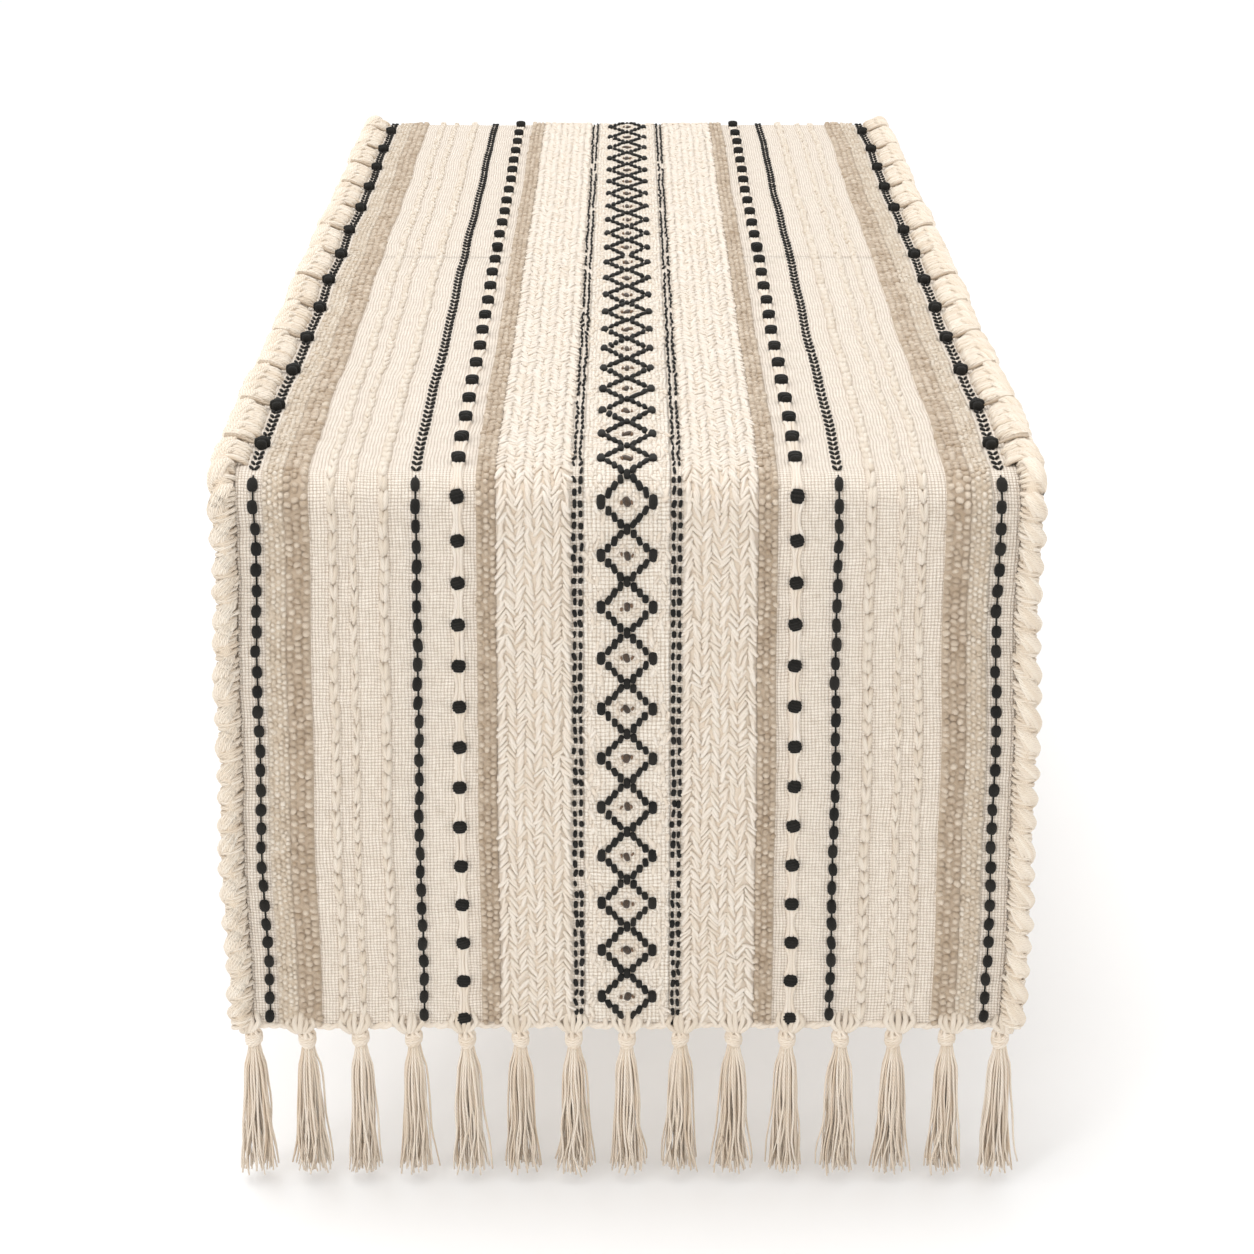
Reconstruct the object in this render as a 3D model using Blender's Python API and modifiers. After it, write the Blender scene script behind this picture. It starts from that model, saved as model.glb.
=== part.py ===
"""Handwoven table runner, draped over a tabletop.

The cloth has three runs: one lies on the tabletop and turns down over both of its ends, and one
hangs at each end. Each run carries the same raised woven bands and a lacing cord down each edge,
and each hanging end carries a row of knotted tassels that swing from its hem.

Units are metres. The origin is the middle of the cloth's underside, on the tabletop. +X runs
across the runner, +Y along it and +Z up. The front end hangs at -Y.
"""

import math

import bpy

# Driving dimensions
OVERALL_LENGTH = 1.219  # laid flat, from tassel tip to tassel tip
OVERALL_WIDTH = 0.305  # over the lacing cords
DROP = 0.226  # tabletop down to the bottom of the hem
TASSEL_LENGTH = 0.0665  # bottom of the hem down to the tassel's tip
TASSELS = 15  # along each hem

CLOTH = 0.002  # thickness of the ground cloth
BAND = 0.0016  # height of a raised band above its clearance
CORD = 0.008  # diameter of the edge lacing
HEM = 0.004  # diameter of the rolled hem
EDGE_RADIUS = 0.010  # inside of the bend over the tabletop's end
GAP = 0.0003  # clearance between neighbouring pieces
LACING_GAP = 0.00015  # clearance between the cloth's sides and the lacing drawn up against them
FOLD_INWARD = 15  # degrees that a hanging end can swing in under a thin tabletop

# Bands across the runner, from its middle outwards
DIAMOND_WIDTH = 0.0322
DIAMOND_TO_HERRINGBONE = 0.0046  # holds the dotted double line
HERRINGBONE_WIDTH = 0.0273
INNER_TAN_WIDTH = 0.0074
OUTER_TAN_WIDTH = 0.0166
OUTER_TAN_TO_CORD = 0.0110  # holds the outer beaded row

# Tassel, turned about its own middle
TASSEL_INSET = 0.0064  # first tassel's middle, in from the runner's side
NECK_RADIUS = 0.0013
KNOT_RADIUS = 0.0034
KNOT_DEPTH = 0.0052  # pivot down to the knot's middle
WAIST_RADIUS = 0.0022
SHOULDER_RADIUS = 0.0036
SHOULDER_DEPTH = 0.0135
SKIRT_RADIUS = 0.0078

# Facets
BEND_STEPS = 8
ROUND_STEPS = 6
TASSEL_SIDES = 10
CORD_SIDES = 12

# Worked out from the sizes above
HALF_WIDTH = OVERALL_WIDTH / 2
CORD_MIDDLE = HALF_WIDTH - CORD / 2
CLOTH_HALF = CORD_MIDDLE - CORD / 2 - LACING_GAP
BAND_LOW = CLOTH + GAP
BAND_HIGH = BAND_LOW + BAND
# The drop turns about the cloth's outer face, so a raised piece above the pivot stops short of it.
CORD_CLEAR = CORD - CLOTH + GAP
BAND_CLEAR = BAND_HIGH - CLOTH + GAP
CLOTH_CLEAR = CLOTH * math.sin(math.radians(FOLD_INWARD)) + GAP
PIVOT_Z = -(EDGE_RADIUS + CORD_CLEAR + GAP)
BEND_LENGTH = math.pi / 2 * (EDGE_RADIUS + CLOTH / 2)
HANGING_LENGTH = DROP - EDGE_RADIUS + TASSEL_LENGTH
TABLE_HALF = OVERALL_LENGTH / 2 - HANGING_LENGTH - BEND_LENGTH + EDGE_RADIUS
PIVOT_Y = TABLE_HALF + CLOTH
DROP_BELOW_PIVOT = DROP + PIVOT_Z
TASSEL_PIVOT_DROP = NECK_RADIUS + GAP

CREAM = (0.71, 0.63, 0.54)
PALE_CREAM = (0.75, 0.67, 0.57)
TAN = (0.50, 0.41, 0.31)
FLAX = (0.59, 0.48, 0.37)
SPECKLED = (0.34, 0.31, 0.27)
YARN_ROUGHNESS = 0.9


def clear_scene():
    for obj in list(bpy.data.objects):
        bpy.data.objects.remove(obj)


def collection_named(name):
    made = bpy.data.collections.new(name)
    bpy.context.scene.collection.children.link(made)
    return made


def yarn_material(name, colour):
    """A matt, non-metallic yarn of one colour."""
    material = bpy.data.materials.new(name)
    material.use_nodes = True
    shader = material.node_tree.nodes["Principled BSDF"]
    shader.inputs["Base Color"].default_value = (*colour, 1.0)
    shader.inputs["Roughness"].default_value = YARN_ROUGHNESS
    shader.inputs["Metallic"].default_value = 0.0
    return material


def add_object(name, data, material, parent, location):
    obj = bpy.data.objects.new(name, data)
    data.materials.append(material)
    RUNNER.objects.link(obj)
    obj.parent = parent
    obj.location = location
    return obj


def arc(middle, radius, start, end, steps):
    """Points on a circle from one angle to another, in degrees."""
    turns = [math.radians(start + (end - start) * i / steps) for i in range(steps + 1)]
    return [
        (middle[0] + radius * math.cos(a), middle[1] + radius * math.sin(a)) for a in turns
    ]


def over_table(height, clear):
    """Side view of a line at one height off the tabletop, over both ends to a stop above the pivot.

    It runs straight along the top, a quarter circle round each end and straight down.
    """
    flat, radius = TABLE_HALF - EDGE_RADIUS, EDGE_RADIUS + height
    stop = PIVOT_Z + clear
    near = arc((-flat, -EDGE_RADIUS), radius, 180, 90, BEND_STEPS)
    far = arc((flat, -EDGE_RADIUS), radius, 90, 0, BEND_STEPS)
    return [(near[0][0], stop), *near, *far, (far[-1][0], stop)]


def strip(name, outline, middle, width, material, parent=None):
    """A side view outline of the cloth, carried across the runner by its width."""
    curve = bpy.data.curves.new(name, "CURVE")
    curve.dimensions = "2D"
    curve.fill_mode = "BOTH"
    curve.extrude = width / 2
    spline = curve.splines.new("POLY")
    spline.points.add(len(outline) - 1)
    for point, (along, up) in zip(spline.points, outline):
        point.co = (along, up, 0.0, 1.0)
    spline.use_cyclic_u = True
    obj = add_object(name, curve, material, parent, (middle, 0.0, 0.0))
    obj.rotation_euler = (math.pi / 2, 0.0, math.pi / 2)
    return obj


def tube(name, route, across, material):
    """A round cord along a side view route, at one place across the runner."""
    curve = bpy.data.curves.new(name, "CURVE")
    curve.dimensions = "3D"
    curve.bevel_depth = CORD / 2
    curve.bevel_resolution = CORD_SIDES // 2 - 2
    curve.use_fill_caps = True
    spline = curve.splines.new("POLY")
    spline.points.add(len(route) - 1)
    for point, (along, up) in zip(spline.points, route):
        point.co = (0.0, along, up, 1.0)
    return add_object(name, curve, material, None, (across, 0.0, 0.0))


def turned(name, profile, sides, material, parent, location):
    """A profile of (radius, height) points, from top to bottom, turned about the upright axis."""
    mesh = bpy.data.meshes.new(name)
    edges = [(i, i + 1) for i in range(len(profile) - 1)]
    mesh.from_pydata([(radius, 0.0, height) for radius, height in profile], edges, [])
    obj = add_object(name, mesh, material, parent, location)
    turn = obj.modifiers.new("Turn", "SCREW")
    turn.axis = "Z"
    turn.angle = 2 * math.pi
    turn.steps = sides
    turn.render_steps = sides
    turn.use_merge_vertices = True
    turn.merge_threshold = 0.00001
    turn.use_smooth_shade = True
    return obj


def band_layout():
    """Each raised band: its name, its sides' distances from the middle line, and its material."""
    diamond_side = DIAMOND_WIDTH / 2
    herringbone = diamond_side + DIAMOND_TO_HERRINGBONE
    inner_tan = herringbone + HERRINGBONE_WIDTH
    outer_tan = CLOTH_HALF - OUTER_TAN_TO_CORD - OUTER_TAN_WIDTH
    paired = (
        ("herringbone_band", herringbone, HERRINGBONE_WIDTH, MATERIALS["herringbone_yarn"]),
        ("inner_tan_band", inner_tan + GAP, INNER_TAN_WIDTH - GAP, MATERIALS["tan_yarn"]),
        ("outer_tan_band", outer_tan, OUTER_TAN_WIDTH, MATERIALS["tan_yarn"]),
    )
    bands = [("diamond_band", 0.0, DIAMOND_WIDTH, MATERIALS["diamond_band"])]
    for side, sign in (("left", -1), ("right", 1)):
        for name, start, width, material in paired:
            bands.append((f"{side}_{name}", sign * (start + width / 2), width, material))
    return bands


def top_run():
    """The run on the tabletop, with both of its bends."""
    cloth = over_table(0.0, CLOTH_CLEAR) + over_table(CLOTH, CLOTH_CLEAR)[::-1]
    strip("top_cloth", cloth, 0.0, 2 * CLOTH_HALF, MATERIALS["ground_cloth"])
    raised = over_table(BAND_LOW, BAND_CLEAR) + over_table(BAND_HIGH, BAND_CLEAR)[::-1]
    for name, middle, width, material in band_layout():
        strip(f"top_{name}", raised, middle, width, material)
    for side, sign in (("left", -1), ("right", 1)):
        route = over_table(CORD / 2, CORD_CLEAR)
        tube(f"top_{side}_lacing", route, sign * CORD_MIDDLE, MATERIALS["lacing_cord"])


def drop_cloth_outline():
    """Side view of a hanging end: a flat sheet with its lower edge rolled outwards.

    The cloth's outer face is on the pivot, so the sheet lies from there to one thickness inside.
    """
    roll = HEM / 2
    roll_up = roll - DROP_BELOW_PIVOT
    hem = arc((CLOTH - roll, roll_up), roll, 0, -270, 3 * ROUND_STEPS)
    return [(CLOTH, 0.0), *hem, (0.0, 0.0)]


def cord_profile():
    """Lacing cord of a hanging end: round at the pivot, and flat at the hem."""
    radius = CORD / 2
    return [*arc((0.0, 0.0), radius, 90, 0, ROUND_STEPS), *flat_end(radius, DROP_BELOW_PIVOT)]


def flat_end(radius, depth):
    return [(radius, -depth), (0.0, -depth)]


def tassel_profile():
    """Neck, knot, waist and flared skirt, from the pivot down."""
    depth = TASSEL_LENGTH - TASSEL_PIVOT_DROP
    neck_in_knot = math.degrees(math.asin(NECK_RADIUS / KNOT_RADIUS))
    waist_in_knot = math.degrees(math.asin(WAIST_RADIUS / KNOT_RADIUS))
    knot = arc((0.0, -KNOT_DEPTH), KNOT_RADIUS, 90 - neck_in_knot, waist_in_knot - 90, 4)
    return [
        (0.0, NECK_RADIUS),
        *arc((0.0, 0.0), NECK_RADIUS, 45, 0, 1),
        *knot,
        (SHOULDER_RADIUS, -SHOULDER_DEPTH),
        *flat_end(SKIRT_RADIUS, depth),
    ]


def hanging_end(end, turn):
    """One hanging end under an empty on its fold axis, with its outer side towards local -Y."""
    pivot = bpy.data.objects.new(f"{end}_drop_pivot", None)
    RUNNER.objects.link(pivot)
    facing = math.cos(turn)
    pivot.location = (0.0, -facing * PIVOT_Y, PIVOT_Z)
    pivot.rotation_euler = (0.0, 0.0, turn)
    cloth = MATERIALS["ground_cloth"]
    strip(f"{end}_cloth", drop_cloth_outline(), 0.0, 2 * CLOTH_HALF, cloth, pivot)

    low, high = BAND_LOW - CLOTH, BAND_HIGH - CLOTH
    band_end = HEM + GAP - DROP_BELOW_PIVOT
    raised = [(-low, 0.0), (-high, 0.0), (-high, band_end), (-low, band_end)]
    for name, middle, width, material in band_layout():
        strip(f"{end}_{name}", raised, facing * middle, width, material, pivot)

    for side, sign in (("left", -facing), ("right", facing)):
        place = (sign * CORD_MIDDLE, CLOTH - CORD / 2, 0.0)
        lacing = MATERIALS["lacing_cord"]
        turned(f"{end}_{side}_lacing", cord_profile(), CORD_SIDES, lacing, pivot, place)

    first = HALF_WIDTH - TASSEL_INSET
    for i in range(TASSELS):
        across = facing * first * (2 * i / (TASSELS - 1) - 1)
        place = (across, 0.0, -DROP_BELOW_PIVOT - TASSEL_PIVOT_DROP)
        name = f"{end}_tassel_{i + 1:02d}"
        turned(name, tassel_profile(), TASSEL_SIDES, MATERIALS["tassel_yarn"], pivot, place)


clear_scene()
RUNNER = collection_named("table_runner")
MATERIALS = {
    "ground_cloth": yarn_material("ground_cloth", CREAM),
    "herringbone_yarn": yarn_material("herringbone_yarn", PALE_CREAM),
    "diamond_band": yarn_material("diamond_band", SPECKLED),
    "tan_yarn": yarn_material("tan_yarn", TAN),
    "lacing_cord": yarn_material("lacing_cord", PALE_CREAM),
    "tassel_yarn": yarn_material("tassel_yarn", FLAX),
}
top_run()
hanging_end("front", 0.0)
hanging_end("back", math.pi)
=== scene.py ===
"""Looks of a handwoven table runner: woven cloth, raised yarn bands, beaded rows and tassels.

Every piece is laid on one cloth surface, which lies on a tabletop, bends over the tabletop's
ends and hangs. A point on it is (u, s, h): u across the runner, s along the cloth from the
runner's middle line to a hem, h above the tabletop or outwards from the hanging end.
"""

import math

import bpy
import numpy as np
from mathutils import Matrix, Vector


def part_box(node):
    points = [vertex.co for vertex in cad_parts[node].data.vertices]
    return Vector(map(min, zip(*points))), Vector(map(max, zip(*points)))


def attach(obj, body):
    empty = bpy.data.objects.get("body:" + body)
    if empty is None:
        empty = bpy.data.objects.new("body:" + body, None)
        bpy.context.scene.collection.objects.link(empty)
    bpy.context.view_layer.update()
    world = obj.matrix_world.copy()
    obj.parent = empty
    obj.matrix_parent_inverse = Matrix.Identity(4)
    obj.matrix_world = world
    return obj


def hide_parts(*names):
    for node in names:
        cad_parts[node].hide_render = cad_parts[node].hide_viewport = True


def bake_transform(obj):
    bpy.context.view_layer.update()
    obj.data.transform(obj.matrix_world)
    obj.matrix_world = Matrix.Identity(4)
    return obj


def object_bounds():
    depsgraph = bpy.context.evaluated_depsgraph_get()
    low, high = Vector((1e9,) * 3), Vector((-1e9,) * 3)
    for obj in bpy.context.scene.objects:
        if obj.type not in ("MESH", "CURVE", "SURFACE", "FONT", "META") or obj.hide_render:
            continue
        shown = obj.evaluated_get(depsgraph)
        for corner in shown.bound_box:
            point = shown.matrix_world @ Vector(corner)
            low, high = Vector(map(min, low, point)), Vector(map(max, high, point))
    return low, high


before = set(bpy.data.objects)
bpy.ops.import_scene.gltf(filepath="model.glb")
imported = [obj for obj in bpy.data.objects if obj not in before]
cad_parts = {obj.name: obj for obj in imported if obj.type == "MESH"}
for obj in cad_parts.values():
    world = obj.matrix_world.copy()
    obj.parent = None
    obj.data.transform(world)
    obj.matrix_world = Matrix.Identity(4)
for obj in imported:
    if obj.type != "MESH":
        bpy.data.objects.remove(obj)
CAD_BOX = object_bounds()

MM = 0.001
DRAW = np.random.default_rng(719)
ENDS = {"front": -1, "back": 1}


def node_box(node):
    """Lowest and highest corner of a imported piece, as arrays."""
    low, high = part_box(node)
    return np.array(low, float), np.array(high, float)


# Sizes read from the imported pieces
TOP_HIGH = node_box("top_cloth")[1]
DROP_LOW = node_box("front_cloth")[0]
LACING_LOW, LACING_HIGH = node_box("front_right_lacing")
CLOTH = TOP_HIGH[2]
CLOTH_HALF = TOP_HIGH[0]
TABLE_HALF = TOP_HIGH[1] - CLOTH
CORD_RADIUS = (LACING_HIGH[0] - LACING_LOW[0]) / 2
CORD_MIDDLE = LACING_HIGH[0] - CORD_RADIUS
HEM_Z = DROP_LOW[2]
EDGE_RADIUS = 10 * MM
FLAT_HALF = TABLE_HALF - EDGE_RADIUS
BEND_LENGTH = math.pi / 2 * (EDGE_RADIUS + CLOTH)
FOLD = FLAT_HALF + BEND_LENGTH
HALF_LENGTH = FOLD - EDGE_RADIUS - HEM_Z
DROP_FACE = TABLE_HALF + CLOTH


def band_span(name):
    """Nearest and furthest distance of a raised band from the runner's middle line."""
    low, high = node_box(f"front_right_{name}")
    return low[0], high[0]


HERRINGBONE = band_span("herringbone_band")
INNER_TAN = band_span("inner_tan_band")
OUTER_TAN = band_span("outer_tan_band")
DIAMOND_HALF = node_box("front_diamond_band")[1][0]

# Rows between the bands, as distances from the middle line
DOTTED_LINES = (17.2 * MM, 19.4 * MM)
KNOT_ROW = 62.3 * MM
INNER_BEADS = 77.5 * MM
SLUB_RIBS = ((89.4 * MM, 2.1 * MM), (100.7 * MM, 1.4 * MM), (108.3 * MM, 1.8 * MM))
OUTER_BEADS = OUTER_TAN[1] + 3.4 * MM

HEM_GAP = 2.5 * MM  # stitches end this far above the hem
GOLDEN_ANGLE = 2.39996  # turn from one strand of a tassel to the next, for an even spread


# ---------------------------------------------------------------- cloth surface


def smooth_step(x):
    """Rises from zero to one as three times x squared less twice x cubed."""
    x = np.clip(x, 0, 1)
    return x * x * (3 - 2 * x)


def laid(u, s, h, end):
    """Point in space of cloth point (u, s, h).

    Straight along the tabletop, a quarter circle of radius EDGE_RADIUS + h over its end, then
    straight down. A slow sine drifts the edges, and shallow ripples grow below the bend.
    """
    u, s, h = np.broadcast_arrays(*(np.asarray(x, float) for x in (u, s, h)))
    hanging = smooth_step((s - FOLD) / 0.09)
    near_hem = smooth_step((HALF_LENGTH - s) / 0.07)
    across = 0.6 * np.sin(u * 47 + 0.7) + 0.4 * np.sin(u * 21 - 1.1 + 9 * s)
    ripple = 1.3 * MM * hanging * (0.35 + 0.65 * near_hem) * across
    uneven = 0.14 * MM * (1 + np.sin(61 * s + 23 * u) * np.sin(83 * u + 1.3))
    h = h + ripple + uneven
    drift = 0.5 * MM * np.sin(31 * s + 0.5) + 0.35 * MM * np.sin(74 * s + 2 * u / CLOTH_HALF)
    drift = drift + 3.0 * MM * smooth_step((s - FOLD) / (HALF_LENGTH - FOLD))
    turn = np.clip((s - FLAT_HALF) / (EDGE_RADIUS + CLOTH), 0, math.pi / 2)
    y = np.minimum(s, FLAT_HALF) + (EDGE_RADIUS + h) * np.sin(turn)
    z = h * np.cos(turn) - EDGE_RADIUS * (1 - np.cos(turn)) - np.maximum(s - FOLD, 0)
    return np.stack([u + drift * u / CLOTH_HALF, ENDS[end] * y, z], axis=-1)


# ---------------------------------------------------------------- mesh making


class Shape:
    """Points with a shade each, and faces with a UV at each corner, of one mesh."""

    def __init__(self):
        self.points, self.faces, self.uvs, self.shades, self.smooth = [], [], [], [], []
        self.count = 0

    def add(self, points, faces, uvs, shades, smooth=None):
        """Adds points (n, 3), face groups [(f, k)] with corner UVs [(f, k, 2)] and n shades."""
        smooth = [True] * len(faces) if smooth is None else smooth
        self.smooth.extend(np.full(len(group), flag) for group, flag in zip(faces, smooth))
        self.points.append(points)
        self.faces.extend(group + self.count for group in faces)
        self.uvs.extend(uvs)
        self.shades.append(np.broadcast_to(shades, len(points)))
        self.count += len(points)

    def object(self, name, *materials):
        """The finished object at the origin."""
        sizes = np.concatenate([np.full(len(f), f.shape[1]) for f in self.faces])
        corners = np.concatenate([f.ravel() for f in self.faces]).astype(np.int32)
        starts = np.concatenate([[0], np.cumsum(sizes)[:-1]]).astype(np.int32)
        mesh = bpy.data.meshes.new(name)
        mesh.vertices.add(self.count)
        mesh.vertices.foreach_set("co", np.concatenate(self.points).astype(np.float32).ravel())
        mesh.loops.add(len(corners))
        mesh.loops.foreach_set("vertex_index", corners)
        mesh.polygons.add(len(sizes))
        mesh.polygons.foreach_set("loop_start", starts)
        mesh.polygons.foreach_set("use_smooth", np.concatenate(self.smooth))
        mesh.update(calc_edges=True)
        layer = mesh.uv_layers.new(name="UVMap")
        uvs = np.concatenate([uv.reshape(-1, 2) for uv in self.uvs]).astype(np.float32)
        layer.uv.foreach_set("vector", uvs.ravel())
        shade = mesh.attributes.new("shade", "FLOAT", "POINT")
        shade.data.foreach_set("value", np.concatenate(self.shades).astype(np.float32))
        for material in materials:
            mesh.materials.append(material)
        mesh.validate()
        obj = bpy.data.objects.new(name, mesh)
        bpy.context.scene.collection.objects.link(obj)
        return obj


def ring_faces(rings, sides):
    """Faces of a closed tube: quads between rings, then a fan at each end to its pole.

    Points run ring by ring, then the first and the last pole. Each corner's UV is
    (ring / (rings - 1), side / sides), counted on past the seam.
    """
    i, j = np.meshgrid(np.arange(rings - 1), np.arange(sides), indexing="ij")
    i, j = i.ravel(), j.ravel()
    after = (j + 1) % sides
    quads = np.stack(
        [i * sides + j, i * sides + after, (i + 1) * sides + after, (i + 1) * sides + j], 1
    )
    a, b = i / (rings - 1), (i + 1) / (rings - 1)
    v, w = j / sides, (j + 1) / sides
    quad_uv = np.stack([np.stack(c, 1) for c in ((a, v), (a, w), (b, w), (b, v))], 1)
    k = np.arange(sides)
    nxt = (k + 1) % sides
    first, last, far = rings * sides, rings * sides + 1, (rings - 1) * sides
    fans = np.concatenate(
        [
            np.stack([np.full(sides, first), nxt, k], 1),
            np.stack([np.full(sides, last), far + k, far + nxt], 1),
        ]
    )
    v, w, m = k / sides, (k + 1) / sides, (k + 0.5) / sides
    zero, one = np.zeros(sides), np.ones(sides)
    fan_uv = np.concatenate(
        [
            np.stack([np.stack(c, 1) for c in ((zero, m), (zero, w), (zero, v))], 1),
            np.stack([np.stack(c, 1) for c in ((one, m), (one, v), (one, w))], 1),
        ]
    )
    return quads, fans, quad_uv, fan_uv


def add_copies(shape, points, rings, sides, shades, uv_size=None, flip=False):
    """Adds K closed tubes, points (K, rings * sides + 2, 3), with K shades and K UV sizes."""
    count, each = points.shape[:2]
    quads, fans, quad_uv, fan_uv = ring_faces(rings, sides)
    if flip:
        quads, quad_uv = quads[:, ::-1], quad_uv[:, ::-1]
        fans, fan_uv = fans[:, ::-1], fan_uv[:, ::-1]
    step = (np.arange(count) * each)[:, None, None]
    size = np.ones((count, 2)) if uv_size is None else uv_size
    size = size[:, None, None, :]
    shape.add(
        points.reshape(-1, 3),
        [(quads + step).reshape(-1, 4), (fans + step).reshape(-1, 3)],
        [(quad_uv * size).reshape(-1, 4, 2), (fan_uv * size).reshape(-1, 3, 2)],
        np.repeat(np.broadcast_to(shades, count), each),
    )


def add_puffs(shape, end, u, s, h, turn, length, width, height, shades=0.5, rings=4, sides=6,
              square=0.8):
    """Adds yarn puffs laid on the cloth, each an ellipsoid turned in the cloth's plane.

    Along its axis a ring sits at -cos(t) and has the radius sin(t) to the power of square, for
    even t, so a lower square gives blunter ends. turn is the angle from u towards s.
    """
    u, s, h, turn, length, width, height, shades = (
        np.asarray(x, float).ravel()
        for x in np.broadcast_arrays(u, s, h, turn, length, width, height, shades)
    )
    t = math.pi * (np.arange(rings) + 1) / (rings + 1)
    around = 2 * math.pi * np.arange(sides) / sides
    along = np.concatenate([np.repeat(-np.cos(t), sides), [-1, 1]])
    radius = np.sin(t) ** square
    side = np.concatenate([np.outer(radius, np.cos(around)).ravel(), [0, 0]])
    rise = np.concatenate([np.outer(radius, np.sin(around)).ravel(), [0, 0]])
    a = along * length[:, None] / 2
    b = side * width[:, None] / 2
    c = rise * height[:, None] / 2
    cos, sin = np.cos(turn)[:, None], np.sin(turn)[:, None]
    place = laid(u[:, None] + a * cos - b * sin, s[:, None] + a * sin + b * cos,
                 h[:, None] + c, end)
    size = np.stack([length, np.pi * width], 1)
    add_copies(shape, place, rings, sides, shades, size, flip=ENDS[end] < 0)


def add_tubes(shape, paths, radii, sides, shades=0.5, side_way=(1, 0, 0)):
    """Adds tubes along paths (K, M, 3) with radii (K, M), closed with rounded ends.

    Each ring stands square to the path's direction, and starts from side_way made square to it.
    """
    paths = np.asarray(paths, float)
    count, steps = paths.shape[:2]
    radii = np.broadcast_to(radii, (count, steps))
    ahead = np.gradient(paths, axis=1)
    ahead /= np.maximum(np.linalg.norm(ahead, axis=2, keepdims=True), 1e-12)
    way = np.broadcast_to(np.asarray(side_way, float), ahead.shape)
    first = way - (way * ahead).sum(2, keepdims=True) * ahead
    first /= np.maximum(np.linalg.norm(first, axis=2, keepdims=True), 1e-9)
    second = np.cross(ahead, first)
    turn = 2 * math.pi * np.arange(sides) / sides
    ring = (first[:, :, None] * np.cos(turn)[:, None] + second[:, :, None] * np.sin(turn)[:, None])
    points = (paths[:, :, None] + radii[:, :, None, None] * ring).reshape(count, -1, 3)
    start = paths[:, 0] - 0.6 * ahead[:, 0] * radii[:, :1]
    finish = paths[:, -1] + 0.6 * ahead[:, -1] * radii[:, -1:]
    points = np.concatenate([points, start[:, None], finish[:, None]], axis=1)
    length = np.linalg.norm(np.diff(paths, axis=1), axis=2).sum(1)
    size = np.stack([length, 2 * math.pi * radii.mean(1)], 1)
    add_copies(shape, points, steps, sides, shades, size)


def add_sheet(shape, end, u, s, top, bottom, shades=0.5):
    """Adds a closed slab over the grid u by s, its faces at heights top and bottom (u, s)."""
    nu, ns = len(u), len(s)
    across, along = np.meshgrid(u, s, indexing="ij")
    faces, uvs = [], []
    number = np.arange(nu * ns).reshape(nu, ns)
    flat = np.stack([across, along], -1)

    def quads_of(index, where, turned):
        q = np.stack([index[:-1, :-1], index[1:, :-1], index[1:, 1:], index[:-1, 1:]], -1)
        w = np.stack([where[:-1, :-1], where[1:, :-1], where[1:, 1:], where[:-1, 1:]], -2)
        q, w = q.reshape(-1, 4), w.reshape(-1, 4, 2)
        faces.append(q[:, ::-1] if turned else q)
        uvs.append(w[:, ::-1] if turned else w)

    front = ENDS[end] < 0
    quads_of(number, flat, front)
    quads_of(number + nu * ns, flat, not front)
    for line in (np.s_[0, :], np.s_[-1, :], np.s_[:, 0], np.s_[:, -1]):
        wall = np.stack([number[line], number[line] + nu * ns])
        where = np.stack([flat[line], flat[line]])
        turned = line in (np.s_[0, :], np.s_[:, -1])
        quads_of(wall, where, turned != front)
    points = np.concatenate(
        [laid(across, along, top, end).reshape(-1, 3),
         laid(across, along, bottom, end).reshape(-1, 3)]
    )
    shape.add(points, faces, uvs, shades, [True, True] + [False] * 4)


# ---------------------------------------------------------------- materials


class Dye:
    """Short calls that add nodes to one material."""

    def __init__(self, name, roughness, sheen):
        self.material = bpy.data.materials.new(name)
        self.material.use_nodes = True
        self.tree = self.material.node_tree
        self.shader = self.tree.nodes["Principled BSDF"]
        self.shader.inputs["Roughness"].default_value = roughness
        self.shader.inputs["Metallic"].default_value = 0.0
        self.shader.inputs["Specular IOR Level"].default_value = 0.25
        self.shader.inputs["Sheen Weight"].default_value = sheen
        self.shader.inputs["Sheen Roughness"].default_value = 0.6

    def node(self, kind, **inputs):
        node = self.tree.nodes.new(kind)
        for name, value in inputs.items():
            self.feed(node.inputs[name.replace("_", " ")], value)
        return node

    def feed(self, socket, value):
        if isinstance(value, bpy.types.NodeSocket):
            self.tree.links.new(value, socket)
        else:
            socket.default_value = value

    def maths(self, operation, *values):
        node = self.tree.nodes.new("ShaderNodeMath")
        node.operation = operation
        for socket, value in zip(node.inputs, values):
            self.feed(socket, value)
        return node.outputs[0]

    def uv(self):
        """The UV map's two directions, in metres."""
        place = self.node("ShaderNodeTexCoord").outputs["UV"]
        parts = self.node("ShaderNodeSeparateXYZ", Vector=place)
        return parts.outputs["X"], parts.outputs["Y"]

    def here(self):
        return self.node("ShaderNodeTexCoord").outputs["Object"]

    def noise(self, where, scale, detail=2.0, roughness=0.5):
        node = self.node(
            "ShaderNodeTexNoise", Vector=where, Scale=scale, Detail=detail, Roughness=roughness
        )
        return node.outputs["Fac"]

    def stretched(self, x, y, z=0.0):
        return self.node("ShaderNodeCombineXYZ", X=x, Y=y, Z=z).outputs[0]

    def between(self, amount, low, high):
        node = self.tree.nodes.new("ShaderNodeMix")
        node.data_type = "RGBA"
        self.feed(node.inputs["Factor"], amount)
        for socket, colour in zip((node.inputs[6], node.inputs[7]), (low, high)):
            self.feed(socket, colour if isinstance(colour, bpy.types.NodeSocket) else (*colour, 1))
        return node.outputs[2]

    def finish(self, colour, relief, depth):
        self.feed(self.shader.inputs["Base Color"], colour)
        bump = self.node("ShaderNodeBump", Height=relief, Distance=depth, Strength=1.0)
        self.tree.links.new(bump.outputs[0], self.shader.inputs["Normal"])
        return self.material


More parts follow.
